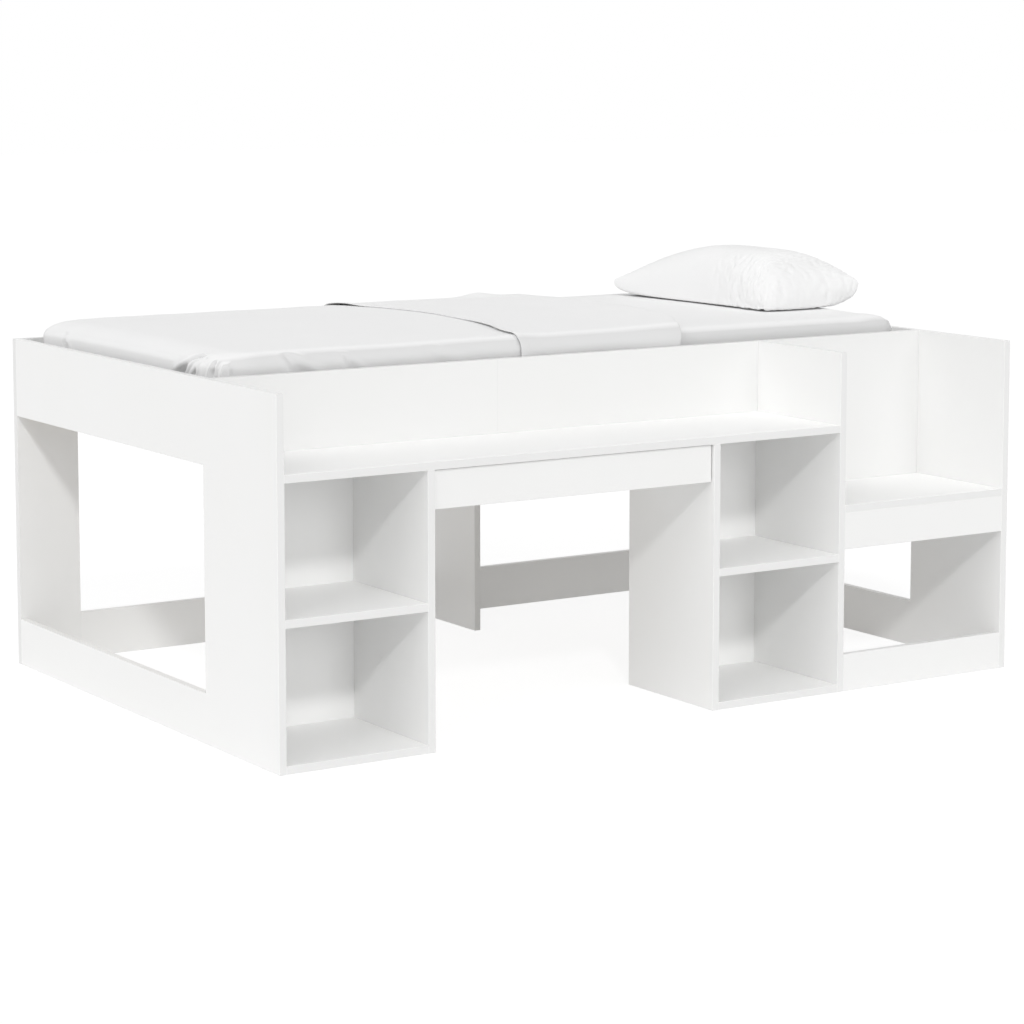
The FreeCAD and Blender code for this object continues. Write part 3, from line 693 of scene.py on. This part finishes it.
MATTRESS_SLACK = 0.003
MATTRESS_SWELL = 0.006
PLAN_ROUND, EDGE_ROUND = 0.022, 0.030
MATTRESS_MESH = 0.014
BOW_LOW, BOW_HIGH = 0.09, 0.02
shy = Vector((MATTRESS_SLACK,) * 3)
block = rounded_block(MATTRESS_LOW + shy, MATTRESS_HIGH - shy, PLAN_ROUND, EDGE_ROUND)
raw = bpy.data.objects.new("mattress_raw", block)
scene.collection.objects.link(raw)
remesh = raw.modifiers.new("even", "REMESH")
remesh.mode = "VOXEL"
remesh.voxel_size = MATTRESS_MESH
mattress = evaluated_copy(raw, "mattress_pad")
reached = simulate(mattress, frames=10, pressure=4.0, tension=40.0, bending=1.0)
moves = capped(reached - coords(mattress), MATTRESS_SWELL)
set_coords(mattress, coords(mattress) + moves)
co = coords(mattress)
up = smoothstep(co[:, 2], MATTRESS_LOW.z + BOW_LOW, MATTRESS_HIGH.z - BOW_HIGH)
bow = up * CROWN * across_bed(co[:, 1]) ** 2
co[:, 2] = np.clip(co[:, 2], MATTRESS_LOW.z, MATTRESS_HIGH.z) - bow
set_coords(mattress, co)
mattress.data.polygons.foreach_set("use_smooth", [True] * len(mattress.data.polygons))
mattress.data.materials.clear()
mattress.data.materials.append(SHEET)
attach(mattress, "frame")
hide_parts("mattress")

# Pillow: its photographed form, then a short cloth simulation in which spare cloth at the front
# end buckles. Only the small creases are kept, so the outline stays as it is. Ridges of noise
# are added to them there.

PILLOW_SIZE = PILLOW_HIGH - PILLOW_LOW
PILLOW_TO_HEAD = 0.005
PILLOW_MIDDLE = (PILLOW_HIGH + PILLOW_LOW) / 2 + Vector((PILLOW_TO_HEAD, 0, 0))
PILLOW_SLIM = 0.955
PULLED_IN = 0.09
NEAR_ROUND = 0.15
CREST_U, CREST_V = -0.266, -0.02
SEAM_LOW = 0.009
SEAM_FOOT_BACK, SEAM_FOOT_FRONT = 0.038, 0.012
SEAM_HEAD_BACK, SEAM_HEAD_FRONT = 0.045, 0.065
# Power and root of the domes: from foot to head, to the back, to the front, and underneath.
ACROSS_DOME, BACK_DOME = (2.88, 0.487), (1.29, 0.60)
FRONT_DOME, UNDER_DOME = (6.8, 0.634), (3.3, 1)
UNDER_ROOT = 0.21


def dome(t, crest, power, root):
    """1 at the crest and 0 at both edges, -1 and 1."""
    t = np.where(t < crest, (t - crest) / (1 + crest), (t - crest) / (1 - crest))
    return np.clip(1 - np.abs(t) ** power, 0, 1) ** root


def pillow_form(u, v):
    """Upper and lower points at u, from foot to head, and v, from front to back, in -1 to 1."""
    near = np.clip(-u, 0, 1) ** 3 * np.clip(-v, 0, 1) ** 3
    x = u * PILLOW_SLIM * PILLOW_SIZE.x / 2 * (1 - PULLED_IN * (1 - v ** 2))
    x = x * (1 - NEAR_ROUND * near)
    y = v * PILLOW_SIZE.y / 2 * (1 - PULLED_IN / 2 * (1 - u ** 2)) * (1 - 0.6 * NEAR_ROUND * near)
    head, back = (1 + u) / 2, (1 + v) / 2
    corner = (1 - head) * (back * SEAM_FOOT_BACK + (1 - back) * SEAM_FOOT_FRONT)
    corner += head * (back * SEAM_HEAD_BACK + (1 - back) * SEAM_HEAD_FRONT)
    seam = SEAM_LOW + (corner - SEAM_LOW) * np.abs(u * v) ** (3 - 1.5 * head * (1 - back))
    across = dome(u, CREST_U, *ACROSS_DOME)
    along = np.where(v > CREST_V, dome(v, CREST_V, *BACK_DOME), dome(v, CREST_V, *FRONT_DOME))
    full = math.sqrt(2) * across * along / np.sqrt(across ** 2 + along ** 2 + 1e-9)
    upper = seam + (PILLOW_SIZE.z - seam) * np.sqrt(across * along * full)
    x, y = x + PILLOW_MIDDLE.x, y + PILLOW_MIDDLE.y
    lower = seam * (1 - (dome(u, 0, *UNDER_DOME) * dome(v, 0, *UNDER_DOME)) ** UNDER_ROOT)
    lower = lower - CROWN * across_bed(y) ** 2
    return np.stack([x, y, PILLOW_LOW.z + upper], -1), np.stack([x, y, PILLOW_LOW.z + lower], -1)


def sewn(upper, lower, flat):
    """One closed mesh of two grids that share their border."""
    n, m = upper.shape[:2]
    index = np.arange(n * m).reshape(n, m)
    under_index = index + n * m
    border = np.zeros((n, m), bool)
    border[[0, -1]] = True
    border[:, [0, -1]] = True
    under_index[border] = index[border]
    verts = np.concatenate([upper.reshape(-1, 3), lower.reshape(-1, 3)])
    cuts = np.concatenate([flat.reshape(-1, 2)] * 2)
    used, new = np.unique(np.concatenate([index.ravel(), under_index.ravel()]), return_inverse=True)
    top, low = new[: n * m].reshape(n, m), new[n * m:].reshape(n, m)
    up = np.stack([top[:-1, :-1], top[1:, :-1], top[1:, 1:], top[:-1, 1:]], -1).reshape(-1, 4)
    down = np.stack([low[:-1, :-1], low[:-1, 1:], low[1:, 1:], low[1:, :-1]], -1).reshape(-1, 4)
    return verts[used], np.concatenate([up, down]).tolist(), cuts[used], used


PILLOW_ROWS, PILLOW_COLS = 81, 161
PILLOW_CALM, FOLD_CALM = 8, 60
PILLOW_FLAT_X, PILLOW_FLAT_Y = 0.20, 0.37
FRONT_LOOSE, FOOT_LOOSE, FOOT_FADE = (0.30, 0.75), (0.55, 0.85), (-0.1, 0.3)
FOLD_MOST = 0.0025
BEND, BEND_SCALE = 0.012, 20.0
RIDGE_HIGH, RIDGE_SCALE = 0.0026, np.array([45.0, 95.0, 45.0])
turn_u = np.linspace(-1, 1, PILLOW_ROWS)
turn_v = np.linspace(-1, 1, PILLOW_COLS)
u, v = np.meshgrid(
    np.sin(turn_u * math.pi / 2),
    0.5 * turn_v + 0.5 * np.sin(turn_v * math.pi / 2),
    indexing="ij",
)
upper, lower = pillow_form(u, v)
flat = np.meshgrid(turn_u * PILLOW_FLAT_X, turn_v * PILLOW_FLAT_Y, indexing="ij")
verts, faces, cuts, used = sewn(upper, lower, np.stack(flat, -1))
pillow = mesh_object("pillow_pad", verts, faces, cuts)
both_u, both_v = np.tile(u.ravel(), 2)[used], np.tile(v.ravel(), 2)[used]
pairs = edge_pairs(pillow)
rounded = calm(coords(pillow), pairs, PILLOW_CALM)
centre = (rounded.max(0) + rounded.min(0)) / 2
rounded = (rounded - centre) * np.ptp(coords(pillow), axis=0) / np.ptp(rounded, axis=0) + centre
set_coords(pillow, rounded)
loose = smoothstep(-both_v, *FRONT_LOOSE)
loose += 0.5 * smoothstep(-both_u, *FOOT_LOOSE) * smoothstep(-both_v, *FOOT_FADE)
loose = np.clip(loose, 0, 1)
reached = simulate(
    pillow, frames=24, pressure=4.0, tension=20.0, bending=0.01, spare=loose, extra=0.08
)
moves = reached - coords(pillow)
folds = capped(moves - calm(moves, pairs, FOLD_CALM), FOLD_MOST)
set_coords(pillow, coords(pillow) + loose[:, None] * folds)
bent = rounded + BEND * np.stack([ripple(rounded, BEND_SCALE, k) for k in (3, 4, 5)], -1)
ridges = 1 - 2 * np.abs(ripple(bent * RIDGE_SCALE, 1.0, 6))
normals = np.zeros(len(rounded) * 3)
pillow.data.vertices.foreach_get("normal", normals)
crumple = (RIDGE_HIGH * loose * (ridges - 0.5))[:, None] * normals.reshape(-1, 3)
set_coords(pillow, coords(pillow) + crumple)
pillow.data.materials.append(PILLOWCASE)
finer = pillow.modifiers.new("finer", "SUBSURF")
finer.levels = finer.render_levels = 1
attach(pillow, "frame")
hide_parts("pillow")

# Floor, light and camera

FLOOR_HALF, FLOOR_DOWN = 30.0, 0.0005
FLOOR_CORNERS = ((-1, -1), (1, -1), (1, 1), (-1, 1))
floor = mesh_object(
    "floor",
    [(FLOOR_HALF * x, FLOOR_HALF * y, 0) for x, y in FLOOR_CORNERS],
    [[0, 1, 2, 3]],
    smooth=False,
)
floor.location.z = -FLOOR_DOWN


def seen_ray(tree):
    """1 for rays that show the background: from the camera, and in gloss or glass."""
    path = tree.nodes.new("ShaderNodeLightPath")
    first = math_of(tree, "MAXIMUM", path.outputs["Is Camera Ray"], path.outputs["Is Glossy Ray"])
    return math_of(tree, "MAXIMUM", first, path.outputs["Is Transmission Ray"])


# What the floor gives back to the object, and how the camera sees it, with its shadow.
FLOOR_BOUNCE = 0.85
FLOOR_FILL = 0.16
FLOOR_SHADOW = 0.24
FLOOR_GLOW = 0.83
floor_mat = bpy.data.materials.new("floor_white")
floor_mat.use_nodes = True
tree = floor_mat.node_tree
tree.nodes.clear()
out = tree.nodes.new("ShaderNodeOutputMaterial")
matt = tree.nodes.new("ShaderNodeBsdfDiffuse")
matt.inputs["Color"].default_value = grey(FLOOR_BOUNCE)
lamp_floor = tree.nodes.new("ShaderNodeEmission")
lamp_floor.inputs["Strength"].default_value = FLOOR_FILL
bounce = tree.nodes.new("ShaderNodeAddShader")
tree.links.new(matt.outputs[0], bounce.inputs[0])
tree.links.new(lamp_floor.outputs[0], bounce.inputs[1])
shaded = tree.nodes.new("ShaderNodeBsdfDiffuse")
shaded.inputs["Color"].default_value = grey(FLOOR_SHADOW)
glow = tree.nodes.new("ShaderNodeEmission")
glow.inputs["Strength"].default_value = FLOOR_GLOW
both = tree.nodes.new("ShaderNodeAddShader")
tree.links.new(shaded.outputs[0], both.inputs[0])
tree.links.new(glow.outputs[0], both.inputs[1])
pick = tree.nodes.new("ShaderNodeMixShader")
tree.links.new(seen_ray(tree), pick.inputs[0])
tree.links.new(bounce.outputs[0], pick.inputs[1])
tree.links.new(both.outputs[0], pick.inputs[2])
tree.links.new(pick.outputs[0], out.inputs["Surface"])
floor.data.materials.append(floor_mat)

SKY = 0.53
world = bpy.data.worlds.new("studio")
scene.world = world
world.use_nodes = True
tree = world.node_tree
tree.nodes.clear()
out = tree.nodes.new("ShaderNodeOutputWorld")
light = tree.nodes.new("ShaderNodeBackground")
strength = spread(tree, seen_ray(tree), 0.0, 1.0, SKY, 1.0)
tree.links.new(strength, light.inputs["Strength"])
light.inputs["Color"].default_value = (1, 1, 1, 1)
tree.links.new(light.outputs[0], out.inputs["Surface"])

# Lamps: the way the light travels, its strength and how wide its source looks, in degrees.
LAMPS = {
    "key": ((0.5, 1.0, -0.75), 0.85, 5.0),
    "low": ((-0.1, 1.0, -0.30), 0.36, 20.0),
    "left": ((1.0, 0.3, -1.0), 0.72, 50.0),
}
for lamp_name, (travel, power, width) in LAMPS.items():
    lamp = bpy.data.objects.new(lamp_name, bpy.data.lights.new(lamp_name, "SUN"))
    lamp.data.energy = power
    lamp.data.angle = math.radians(width)
    lamp.rotation_euler = Vector(travel).to_track_quat("-Z", "Y").to_euler()
    scene.collection.objects.link(lamp)

# The view of the photograph: a long lens, looking a little down, with a small shift.
CAMERA_PLACE = (-3.97489, -6.18673, 1.56282)
CAMERA_TURN = 32.761
CAMERA_DOWN = 6.747
CAMERA_LENS = 105.589
camera = bpy.data.objects.new("camera", bpy.data.cameras.new("camera"))
camera.data.lens = CAMERA_LENS
camera.data.sensor_width = 36.0
camera.data.shift_y = -0.12
camera.data.clip_end = 100.0
camera.location = CAMERA_PLACE
camera.rotation_euler = (math.radians(90 - CAMERA_DOWN), 0, math.radians(-CAMERA_TURN))
scene.collection.objects.link(camera)
scene.camera = camera
